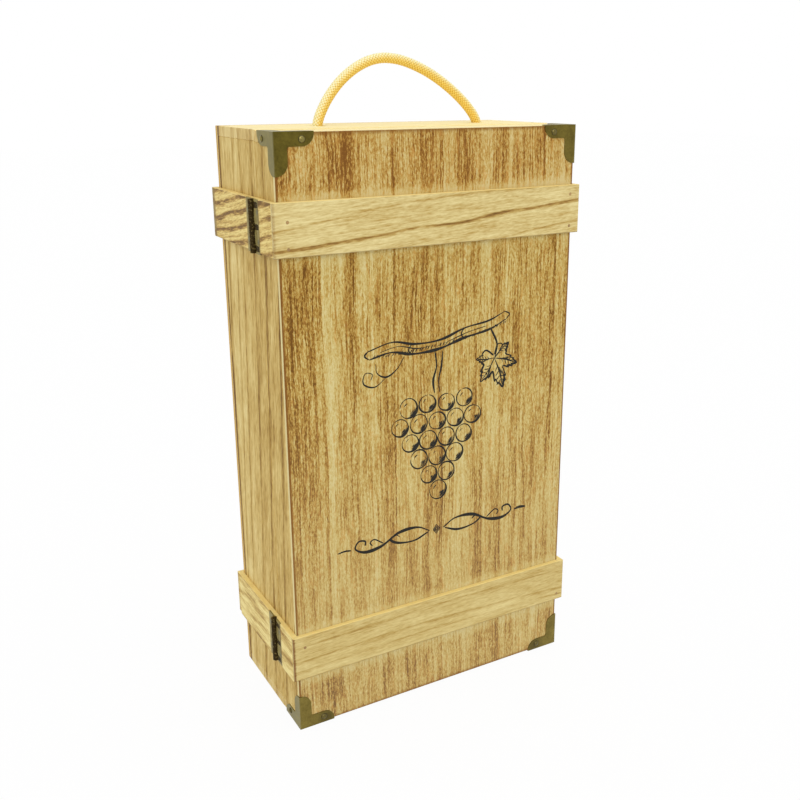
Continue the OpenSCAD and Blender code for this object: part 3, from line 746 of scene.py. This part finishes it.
def torched_panel(name, outer_y, seed, line_places, patches, edge_tones, upward):
    """Scorched and brushed panel, its ring lines at the given X.

    Patches are (x, z, reach in x, reach in z, strength); `upward` is a list of (z, tone added).
    """
    wood = Finish(name, 0.75, specular=0.15)
    x, y, z = wood.x, wood.y, wood.z
    drift = wood.noise(x / 38 + seed, y / 40, z / 120) * 7
    drift = drift + wood.noise(x / 6, y / 9 + seed, z / 18) * 1.3
    across = x + drift
    broad = wood.noise(across / 12 + seed, y / 25, z / 420, 1)
    middle = wood.noise(across / 3.4, y / 9 + seed, z / 230, 3, 0.55)
    cloud = wood.noise(x / 8, y / 9, z / 26 + seed, 3, 0.6)
    sway = wood.noise(x / 5, y / 6 + seed, z / 7, 1) * 1.6
    streak = wood.noise((across + sway) / 1.5, y / 3 + seed, z / 12, 2, 0.6)
    fibre = wood.noise((across + sway * 0.6) / 0.8 + seed, y, z / 34, 1)
    hair = wood.noise((across + sway) / 0.64, y + seed, z / 2.0, 2, 0.7)
    vein = 1 - wood.step(abs(wood.noise(across / 2.7 + seed, y / 5, z / 90, 1)), 0.0, 0.06)
    lines = wood.step(fibre, -0.12, 0.16) - 0.5

    # The face: scorched in bands and patches, paler beside the battens, rough from brushing
    band, late = panel_rings(wood, across, seed, line_places)
    scorch = 0.37 + band * 0.38 + broad * 0.9 + middle * 0.45 + cloud * 0.4 + late * 0.8
    scorch = scorch + wood.line(z, upward)
    for patch_x, patch_z, reach_x, reach_z, strength in patches:
        spot = wood.bump(across, patch_x, reach_x) * wood.bump(z + streak * 18, patch_z, reach_z)
        scorch = scorch + spot * strength
    shielded = sum(
        wood.bump(z, place, SHIELDED_REACH_MM) * strength for place, strength in SHIELDED_MM
    )
    coarse = 0.94 - wood.bump(z, 85, 75) * 0.16 + wood.step(z, 300, 325) * 0.08
    coarse = coarse * (1 - shielded * 0.4)
    detail = streak * 0.68 + hair * 2.1 + lines * 0.4
    tone = scorch - shielded * 0.42 + detail * (scorch * 0.6 + 0.55) * coarse + vein * 0.12
    burnt = wood.ramp(tone, BURNT_TONES)
    amber = wood.noise((across + sway) / 2.1 + 9.7, y / 3 + seed, z / 12, 2, 0.6)
    burnt = wood.mix(wood.step(amber + hair * 0.5, 0.06, 0.26) * 0.3, burnt, tint(216, 160, 82))
    burnt = wood.mix(wood.step(z, 260, 30) * 0.13, burnt, tint(200, 184, 152))
    burnt = wood.mix(wood.step(z, 285, 330) * 0.1, burnt, tint(190, 112, 53))

    # The pale edges and the plain inner face
    plies = wood.noise(x / 90, y / 0.5, z / 90 + seed, 1)
    raw = wood.mix(0.5 + plies, *edge_tones)
    inward = abs(y - outer_y)
    grain = 0.32 + broad * 0.7 + middle * 0.75 + streak * 0.4 + hair * 0.3 + lines * 0.1
    inside = wood.ramp(grain + vein * 0.12, PLAIN_PANEL_TONES)
    raw = wood.mix(wood.step(inward, PANEL_MM - 0.5, PANEL_MM - 0.2), raw, inside)

    # The face ends in a ragged dark rim
    faced = 1 - wood.step(inward, 0.15, 0.55)
    ragged = cloud * 1.6 + streak * 1.2
    half_height = BOX_TOP_MM / 2
    sides = wood.step(abs(x) + ragged * 0.3, BOX_SIDE_MM - 1.7, BOX_SIDE_MM - 0.7) * 0.85
    ends = wood.step(abs(z - half_height) + ragged, half_height - 3.2, half_height - 0.6) * 0.75
    rim = wood.mix((sides + ends) * faced, burnt, tint(128, 82, 32))
    colour = wood.mix(faced, raw, rim)
    relief = streak * 0.4 + hair * 0.5 - lines * 0.2 + middle * 0.2
    return wood.paint(colour, relief, 0.22, 0.8)


def upright_grain(wood, seed, slant, line_places):
    """Flat-sawn upright grain on the side faces: (tone, relief).

    Ring lines stand at the given Y at z = 75 and lean along `slant`, a list of (z, shift).
    """
    x, y, z = wood.x, wood.y, wood.z
    drift = wood.noise(x / 60, y / 30 + seed, z / 80) * 2.6
    drift = drift + wood.noise(x / 9, y / 8, z / 26 + seed) * 1.5
    across = y + x * 0.4 + wood.line(z, slant) + drift
    rings = wood.line(across, numbered(line_places))
    share = wood.maths("FRACT", rings)
    late = wood.step(share, 0.4, 1.0) ** 2.0 * 0.17
    edge = wood.step(share, 0.72, 0.92) * (1 - wood.step(share, 0.94, 1.0))
    number = wood.maths("FLOOR", rings)
    fade = wood.noise(number * 1.37 + seed, 0.0, z / 70, 2) * 2.4 + 0.62
    fade = fade * (1.05 - wood.step(z, 296, 330) * 0.6)
    fine = wood.noise(across / 1.6 + seed, x / 1.6, z / 30, 3, 0.6)
    hair = wood.noise(across / 0.8, x / 0.8, z / 6 + seed, 2, 0.6)
    cloud = wood.noise(across / 7, x / 7, z / 30 + seed, 3)
    tone = 0.33 + cloud * 0.85 + fine * 0.95 + hair * 1.0 + late
    tone = tone + edge * wood.step(fade, -0.3, 1.3) * 0.33
    tone = tone + wood.bump(z, BOX_TOP_MM / 2, 110) * 0.03
    tone = tone + wood.line(y, DEPTH_TONES)
    rear = wood.step(y, 39.4, 42.0) * 0.5 + wood.step(y, 33, 42) * wood.step(z, 296, 330) * 0.2
    return tone + rear, fine * 0.6 + hair * 0.5 - edge * 0.3


def pale_board(name, seed, slant, line_places, tones):
    """Pale board with upright grain."""
    wood = Finish(name, 0.7, specular=0.2)
    tone, relief = upright_grain(wood, seed, slant, line_places)
    return wood.paint(wood.ramp(tone, tones), relief, 0.14, 0.7)


def batten_wood(
    name, node_name, seed, turn, lines, rings=None, tones=BATTEN_TONES, fibre_slant=0.0,
    line_soft=2.6, fibre=1.0, end_reach=0.0, char=0.0, clouding=0.6,
):
    """A raw batten; the named node gives its edges and its end, and `turn` is the axis along it.

    `lines` are (points, width, strength) of drawn ring lines, and `rings` is (period, slope,
    wobble, strength) of even ones. `end_reach` is how far in its end is darkened, and `char` burns
    the left front arris.
    """
    wood = Finish(name, 0.62, specular=0.25)
    z = wood.z
    along, depth = (wood.x, wood.y) if turn == "x" else (wood.y, wood.x)
    drift = wood.noise(along / 40 + seed, depth / 14, z / 9, 2) * 2.2
    across = z + along * fibre_slant + drift
    fine = wood.noise(along / 12 + seed, depth / 1.3, across / 1.3, 3, 0.62)
    hair = wood.noise(along / 4, depth / 0.7, across / 0.7 + seed, 2, 0.6)
    cloud = wood.noise(along / 40 + seed, depth / 9, across / 6, 2)
    crisp = wood.step(wood.noise(along / 30 + seed, depth / 5, across / 0.9, 1), -0.13, 0.15) - 0.5
    tone = 0.24 + cloud * clouding + (fine * 0.6 + hair * 0.75 + crisp * 0.12) * fibre
    for points, width, strength in lines:
        gap = z + drift * 0.3 + fine * 1.5 - wood.line(along, points)
        above = 1 - wood.step(gap, 0.0, width)
        below = 1 - wood.step(0 - gap, 0.0, width * line_soft)
        fade = wood.noise(along / 22 + seed + points[0][1], 0.0, 0.0, 1) * 1.8 + 1.0
        tone = tone + wood.maths("MINIMUM", above, below) * fade * strength
    if rings:
        period, slope, wobble, strength = rings
        phase = z + along * slope + wood.noise(along / 24, depth / 30, z / 11 + seed, 2) * wobble
        share = wood.maths("FRACT", phase / period + 100)
        edge = wood.step(share, 0.35, 0.9) ** 2.5 * (1 - wood.step(share, 0.92, 1.0))
        fade = wood.noise(along / 26 + seed, depth / 9, phase / period / 2, 1) * 1.8 + 1.0
        tone = tone + edge * fade * strength
    colour = wood.ramp(tone, tones)
    if end_reach:
        end = place_mm(node_name, 1, turn)
        outward = abs(along) if turn == "x" else along
        darkened = wood.step(outward, end - end_reach, end) * 0.62
        colour = wood.mix(darkened, colour, tint(108, 84, 46))
    if char:
        left = wood.step(wood.x, 1.6 - BATTEN_SIDE_MM + fine * 2, 0.4 - BATTEN_SIDE_MM)
        burn = left * wood.step(wood.y, BATTEN_FACE_MM + 1.6, BATTEN_FACE_MM + 0.6)
        colour = wood.mix(burn * char * (0.9 + fine * 0.9), colour, tint(128, 86, 38))
    foot, top = place_mm(node_name, 0, "z"), place_mm(node_name, 1, "z")
    # Painted highlight: the top face and its arris pale golden, where the light falls from above
    colour = wood.mix(wood.step(z, top - 0.45, top - 0.1) * 0.75, colour, tint(244, 219, 141))
    # Painted shade along the bottom edge, under the batten
    underside_shade = 1 - wood.step(z, foot + 0.2, foot + 0.8)
    colour = wood.mix(underside_shade * (0.5 + fine), colour, tint(120, 86, 36))
    return wood.paint(colour, fine * 0.6 + hair * 0.5, 0.14, 0.7)


FRONT_PATCHES = [
    # Above the upper batten: two scorches and a paler right end
    (-62, 341, 17, 30, 0.5), (58, 338, 9, 18, 0.24), (84, 340, 16, 28, -0.24),
    (80, 326, 40, 13, -0.2),
    # Below it: the dark left edge, the pale strip beside it, and one scorch
    (-82, 266, 20, 46, 0.22), (-54, 264, 9, 46, -0.08), (-18, 262, 14, 46, 0.24),
    # In the middle: a darker left side and a pale and a dark streak on the right
    (-80, 190, 20, 70, 0.14), (42, 195, 10, 80, -0.2), (54, 200, 8, 110, 0.1),
    # Above the lower batten: a dark streak and the pale one beside it
    (-18, 88, 9, 44, 0.28), (2, 88, 13, 34, -0.26),
    # Along the bottom: scorches and pale streaks by turns, and a dark right end
    (-74, 20, 12, 22, 0.36), (-53, 18, 8, 24, -0.14), (-36, 18, 11, 24, 0.14),
    (-18, 18, 8, 30, 0.2), (2, 19, 14, 30, -0.3), (72, 18, 14, 26, -0.26), (93, 18, 6, 24, 0.16),
]
FRONT_UPWARD = [(60, 0.05), (110, 0.04), (180, 0.05), (235, 0.09), (290, 0.1)]
FRONT_LINES = [
    -104, -91, -73, -53.5, -44, -38, -28, -15.5, -5.5, 4.5, 19.5, 34.5, 49.5, 61, 76, 87, 99,
]
BACK_PATCHES = [(-40, 200, 14, 120, 0.2), (62, 300, 12, 60, 0.25), (20, 60, 18, 60, 0.2)]
BACK_UPWARD = [(0, 0), (360, 0.08)]
BACK_LINES = [-110, -94, -80, -61, -50, -31, -17, -9, 7, 22, 31, 47, 58, 75, 83, 97]
panel_front = torched_panel(
    "torched_panel_front", PANEL_FACE_MM, 3.1, FRONT_LINES, FRONT_PATCHES,
    (tint(236, 226, 172), tint(220, 200, 140)), FRONT_UPWARD,
)
panel_back = torched_panel(
    "torched_panel_back", PANEL_BACK_MM, 17.7, BACK_LINES, BACK_PATCHES,
    (tint(222, 184, 104), tint(198, 156, 78)), BACK_UPWARD,
)

# (seed, slant, ring lines). The lines' places allow for the 0.4 mm that a ring moves sideways with
# each millimetre of depth
LEFT_GRAIN = (
    5.2,
    [(0, -4.6), (75, 0), (180, 8.6), (290, 16.2), (325, 18.4), (360, 18.8)],
    [-101, -82.5, -66.5, -47.5, -30, -11.5, -1, 13.5, 31],
)
RIGHT_GRAIN = (
    21.4,
    [(0, 4), (120, -1), (240, -5), (360, -12)],
    [-31, -13, 3, 17, 30, 45, 58, 73, 86, 105],
)
boards_left = pale_board("pale_board_left", *LEFT_GRAIN, SIDE_TONES)
boards_right = pale_board("pale_board_right", *RIGHT_GRAIN, SIDE_TONES)

upper_front = batten_wood("batten_upper_front", "upper_front_batten", 2.2, "x", [
    ([(-103, 298), (-60, 301.3), (-35, 303.2), (-20, 305.3), (-8, 306), (8, 306.2), (20, 307.2),
      (30, 308.8), (45, 311), (60, 311.7), (80, 313.4), (103, 315.4)], 0.9, 0.52),
    ([(-103, 308.6), (-75, 312.4), (-45, 317), (-15, 320.6), (20, 322.8), (103, 325)], 0.7, 0.24),
    ([(-103, 290), (40, 295.5), (70, 299.3), (103, 302.8)], 0.7, 0.22),
], fibre_slant=-0.07, char=0.4)
lower_front = batten_wood("batten_lower_front", "lower_front_batten", 8.9, "x", [
    ([(-103, 48.5), (-70, 50), (-20, 50.6), (30, 49), (103, 45)], 0.8, 0.2),
    ([(-103, 59), (-40, 60.4), (10, 61), (103, 57)], 0.7, 0.17),
    ([(-103, 42.5), (-20, 44), (40, 43.2), (103, 40)], 0.7, 0.15),
], fibre_slant=-0.01, fibre=0.78, char=1.0, tones=DULL_BATTEN_TONES)
side_upper = batten_wood("batten_side_upper", "upper_left_batten_rear", 4.4, "y", [
    ([(-50, 317.4), (-38, 315), (-28, 312), (-10, 309), (0, 306.5), (10, 304.5), (30, 301.5),
      (50, 298.6)], 1.4, 0.59),
    ([(-50, 328), (-10, 317.5), (0, 315), (15, 313), (25, 311), (35, 308.5), (50, 305.8)],
     1.5, 0.63),
    ([(-50, 323.9), (-28, 322.4), (-3, 323.5), (10, 321.5), (30, 317.5), (50, 314.6)], 1.4, 0.56),
    ([(-50, 307.2), (-38, 305.5), (-30, 303), (-10, 299.5), (10, 296.2), (50, 290)], 1.4, 0.59),
    ([(-50, 299.5), (-40, 296.5), (-20, 293), (50, 280)], 1.4, 0.50),
    ([(-50, 332), (20, 326), (35, 323.8), (50, 322.2)], 1.4, 0.54),
], rings=(2.9, 0.17, 4.5, 0.12), fibre_slant=0.19, line_soft=2.2, fibre=1.6, end_reach=3,
    tones=GOLDEN_BATTEN_TONES)
side_lower = batten_wood(
    "batten_side_lower", "lower_left_batten_rear", 12.3, "y", [], rings=(7.6, 0.05, 5.5, 0.12),
    fibre_slant=0.02, fibre=1.1, tones=PALE_BATTEN_TONES, clouding=2.2,
)
back_upper = batten_wood(
    "batten_back_upper", "upper_back_batten", 31.3, "x", [], rings=(9.5, -0.05, 5.0, 0.4),
    fibre_slant=-0.05, end_reach=0.6,
)
back_lower = batten_wood(
    "batten_back_lower", "lower_back_batten", 44.8, "x", [], rings=(12.5, 0.03, 4.0, 0.3),
    fibre_slant=0.03,
)


def lying_board(name, seed):
    """A pale board whose grain runs from left to right, with the side boards' grain on its ends."""
    wood = Finish(name, 0.6, specular=0.4)
    x, y, z = wood.x, wood.y, wood.z
    across = y + wood.noise(x / 60, y / 20 + seed, z / 20) * 3
    fine = wood.noise(x / 24 + seed, across / 0.8, z / 0.8, 3, 0.6)
    hair = wood.noise(x / 6, across / 0.35, z / 0.35 + seed, 2, 0.6)
    cloud = wood.noise(x / 70, across / 8 + seed, z / 8, 2)
    # Painted light: the board's tones are paler, for the light that falls on the top
    colour = wood.ramp(0.25 + cloud * 0.5 + fine * 0.35 + hair * 0.25, TOPLIT_BOARD_TONES)
    relief = fine * 0.6 + hair * 0.5
    nicked = wood.step(wood.noise(y / 5 + seed, 0.0, 0.0, 1), 0.06, 0.14)
    nicks = nicked * wood.bump(z, TOP_BOARD_FOOT_MM - 0.1, 0.9) * 0.5
    for side, grain in ((-1, LEFT_GRAIN), (1, RIGHT_GRAIN)):
        tone, side_relief = upright_grain(wood, *grain)
        ended = wood.step(x * side, BOX_SIDE_MM - 0.8, BOX_SIDE_MM - 0.3)
        colour = wood.mix(ended, colour, wood.ramp(tone - 0.06 + nicks, SIDE_TONES))
        relief = relief * (1 - ended) + side_relief * ended
    return wood.paint(colour, relief, 0.14, 0.7)


end_boards = lying_board("pale_end_board", 6.6)
inner_boards = pale_board(
    "inner_board", 33.9, [(0, 0), (360, 10)], [-120, -91, -66, -38, -12, 16, 45, 70, 99], TOPLIT_BOARD_TONES
)

# ---- Metal ----


def tarnish(metal, seed, roughness):
    """(cloud, grime, relief, roughness) that the plated pieces share."""
    x, y, z = metal.x, metal.y, metal.z
    cloud = metal.noise(x / 6 + seed, y / 6, z / 6, 3, 0.6)
    grime = metal.noise(x / 1.4, y / 1.4 + seed, z / 1.4, 3, 0.65)
    pits = metal.noise(x / 0.35, y / 0.35, z / 0.35 + seed, 1)
    return cloud, grime, grime * 0.5 + pits * 0.4, roughness + grime * 0.25 + cloud * 0.15


def aged_metal(name, seed, light, dark, roughness, metallic):
    """Antique plated metal: cloudy tarnish, fine pits and rubbed lights."""
    metal = Finish(name, roughness, metallic=metallic)
    cloud, grime, relief, rough = tarnish(metal, seed, roughness)
    colour = metal.mix(metal.step(cloud + grime * 0.8, -0.35, 0.35), dark, light)
    return metal.paint(colour, relief, 0.06, 0.6, rough)


def corner_metal():
    """Antique bronze, with painted light: darker across the front than round the sides and on top.
    """
    metal = Finish("antique_bronze", 0.42, metallic=0.75)
    cloud, grime, relief, rough = tarnish(metal, 1.7, 0.42)
    tone = metal.step(cloud + grime * 0.8, -0.4, 0.4)
    # Painted light: the front and the sides are lit and shaded copies of one bronze, the front
    # painted darker. Across the front the bronze darkens towards the top left.
    low = metal.mix(tone, tint(104, 89, 32), tint(138, 122, 56))
    high = metal.mix(tone, tint(78, 67, 10), tint(110, 97, 30))
    front = metal.mix(metal.step(metal.z - metal.x * 0.5, 130, 430), low, high)
    side = metal.mix(tone, tint(111, 101, 38), tint(142, 131, 68))
    facing = metal.step(metal.y, PANEL_FACE_MM + 0.1, PANEL_FACE_MM - 0.1)
    # Paler along the front's outer bends: rubbed wear and a painted highlight
    rubbed_highlit_edge = metal.step(abs(metal.x), CORNER_SIDE_MM - 0.8, CORNER_SIDE_MM - 0.1) * facing * 0.5
    colour = metal.mix(rubbed_highlit_edge, metal.mix(facing, side, front), tint(140, 132, 88))
    # Darker patches round the lower corners' nails
    nail_patch = metal.bump(abs(metal.x), 80, 9) * metal.bump(metal.z, 3, 8) * (0.75 + cloud)
    colour = metal.mix(nail_patch * facing, colour, tint(70, 60, 24))
    return metal.paint(colour, relief, 0.06, 0.6, rough)


def nail_metal():
    """Domed heads in the corners' bronze, with painted shade where they meet the sheet and on all
    heads but the top left corner's.
    """
    metal = Finish("nail_bronze", 0.3, metallic=0.75)
    x, y, z = metal.x, metal.y, metal.z
    grime = metal.noise(x / 0.8, y / 0.8, z / 0.8, 2, 0.6)
    proud = metal.maths("MAXIMUM", CORNER_FACE_MM - y, abs(x) - CORNER_SIDE_MM)
    # Painted shade in the crease where each head meets the sheet
    rim = 1 - metal.step(proud + grime * 0.3, 0.1, 0.5)
    head = metal.mix(0.5 + grime, tint(104, 92, 38), tint(150, 138, 78))
    # Painted shade: all heads but those of the top left corner are darkened
    head = metal.mix((1 - metal.step(z - x * 0.5, 290, 400)) * 0.6, head, tint(74, 62, 26))
    return metal.paint(metal.mix(rim, head, tint(50, 43, 18)), grime, 0.04, 0.5)


def hinge_metal():
    """Antique leaves, with painted shade round the barrel and in the slots for the knuckles."""
    metal = Finish("hinge_bronze", 0.55, specular=0.12)
    x, y, z = metal.x, metal.y, metal.z
    cloud = metal.noise(x / 4, y / 3, z / 4, 3, 0.6)
    grime = metal.noise(x / 1.2, y / 1.2, z / 1.2 + 5, 3, 0.65)
    plain = metal.step(cloud + grime * 0.8, -0.3, 0.3)
    plain = metal.mix(plain, tint(120, 104, 50), tint(162, 148, 92))
    across = y - HINGE_Y_MM
    away = ((x - HINGE_X_MM) ** 2 + across ** 2) ** 0.5
    middle = BOX_TOP_MM / 2
    height = z - HINGE_FOOT_MM - metal.step(z, middle - 1, middle + 1) * HINGE_RISE_MM
    # The box's leaf and the lid's leaf take the knuckles by turns, so the slots repeat after two
    knuckles = metal.maths("FRACT", height / (2 * HINGE_HEIGHT_MM / KNUCKLES))
    slot = metal.step(metal.bump(knuckles, 0.25, 0.24), 0.25, 0.5) * metal.step(across, 0.0, -1.0)
    # Painted shade round the barrel and in the lid leaf's slots beside the box leaf's knuckles
    barrel_shade = metal.step(away - slot * 5.6 + grime * 3.2, 3.0, 2.1)
    # Painted shading of the barrel: black with paler glints on the lid's side, olive brown on the
    # rear side
    rear = metal.step(across + grime, -0.9, 1.6)
    black = metal.mix(metal.step(grime, 0.0, 0.2), tint(44, 31, 0), tint(110, 94, 50))
    colour = metal.mix(barrel_shade, plain, metal.mix(rear, black, tint(120, 98, 40)))
    # Dirt and painted shade along the lid leaf's outer edge
    colour = metal.mix(metal.step(across, -8.3, -9.2) * 0.8, colour, tint(104, 82, 40))
    colour = metal.mix(metal.step(across, 8.5, 9.2) * 0.7, colour, tint(188, 166, 108))
    return metal.paint(colour, grime, 0.06, 0.6, 0.45 + barrel_shade * 0.15)


bronze = corner_metal()
nail_bronze = nail_metal()
dark_bronze = aged_metal("dark_bronze", 7.3, tint(74, 66, 42), tint(40, 34, 20), 0.34, 0.8)
screw_bronze = aged_metal("screw_bronze", 3.9, tint(144, 138, 96), tint(100, 94, 56), 0.4, 0.7)
brad_steel = aged_metal("tarnished_brads", 11.9, tint(184, 148, 92), tint(134, 102, 58), 0.55, 0.0)
hinge_bronze = hinge_metal()

# ---- Rope and ink ----


def satin_rope():
    """Golden satin plait, with painted light: paler along the outside of the arch, where the light
    falls.
    """
    satin = Finish("satin_rope", 0.36, specular=0.6)
    strand = satin.node("ShaderNodeUVMap", {"uv_map": "strand"})
    spread = satin.node(
        "ShaderNodeVectorMath", {"operation": "MULTIPLY"}, {0: strand, 1: (6.0, 26.0, 1.0)}
    )
    fibres = satin.noise_at(spread)
    crown = satin.node("ShaderNodeAttribute", {"attribute_name": "crown"}, output="Fac")
    fading = satin.node("ShaderNodeAttribute", {"attribute_name": "fading"}, output="Fac")
    # Painted shade in the valleys between strands, painted highlight on their crowns
    tone = satin.step(crown + fibres * 0.15, 0.5, 0.98)
    golden = satin.ramp(tone, [
        (0.0, tint(172, 118, 12)), (0.5, tint(230, 181, 50)), (1.0, tint(251, 220, 108)),
    ])
    pale = satin.ramp(tone, [
        (0.0, tint(202, 158, 54)), (0.5, tint(244, 222, 132)), (1.0, tint(252, 246, 202)),
    ])
    # Painted light: paler where the strands face the outside of the arch
    colour = satin.mix(satin.step(fading + fibres * 0.1, 0.38, 0.96), golden, pale)
    return satin.paint(colour, fibres, 0.12, 0.6)


def printed_ink():
    """Matt black ink, thinner where the wood's fibres stand up."""
    ink = Finish("printed_ink", 0.6, specular=0.3)
    fibre = ink.noise(ink.x / 0.8, ink.y, ink.z / 5, 2, 0.6)
    speck = ink.noise(ink.x / 0.4, ink.y, ink.z / 0.5, 1)
    thin = ink.step(fibre + speck * 0.7, 0.02, 0.3)
    return ink.paint(ink.mix(thin * 0.4, tint(24, 22, 15), tint(66, 54, 28)), fibre, 0.03, 0.4)


motif.data.materials.append(printed_ink())
rope_finish = satin_rope()
for piece in (rope, *knots):
    piece.data.materials.append(rope_finish)

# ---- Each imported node's finish ----


def side_battens(belt):
    """The names of a belt's four side battens."""
    return [
        f"{belt}_{side}_batten_{end}" for side in ("left", "right") for end in ("front", "rear")
    ]


finishes = {
    panel_front: ["front_panel"],
    panel_back: ["back_panel"],
    boards_left: ["box_left_side", "lid_left_side"],
    boards_right: ["box_right_side", "lid_right_side"],
    end_boards: ["box_top_board", "box_bottom_board", "lid_top_board", "lid_bottom_board"],
    inner_boards: ["divider", "neck_rest_left", "neck_rest_right"],
    upper_front: ["upper_front_batten"],
    lower_front: ["lower_front_batten"],
    side_upper: side_battens("upper"),
    side_lower: side_battens("lower"),
    back_upper: ["upper_back_batten"],
    back_lower: ["lower_back_batten"],
    bronze: [
        "corner_top_left", "corner_top_right", "corner_bottom_left", "corner_bottom_right",
        "hasp", "hasp_plate", "catch_plate",
    ],
    nail_bronze: ["corner_nails"],
    dark_bronze: ["upper_hinge_pin", "lower_hinge_pin", "hasp_pin"],
    hinge_bronze: [
        "upper_hinge_box_leaf", "lower_hinge_box_leaf",
        "upper_hinge_lid_leaf", "lower_hinge_lid_leaf",
    ],
    screw_bronze: ["box_screws", "lid_screws"],
    brad_steel: ["box_brads", "lid_brads"],
}
for material, node_names in finishes.items():
    for node_name in node_names:
        slots = nodes[node_name].data.materials
        slots.clear()
        slots.append(material)
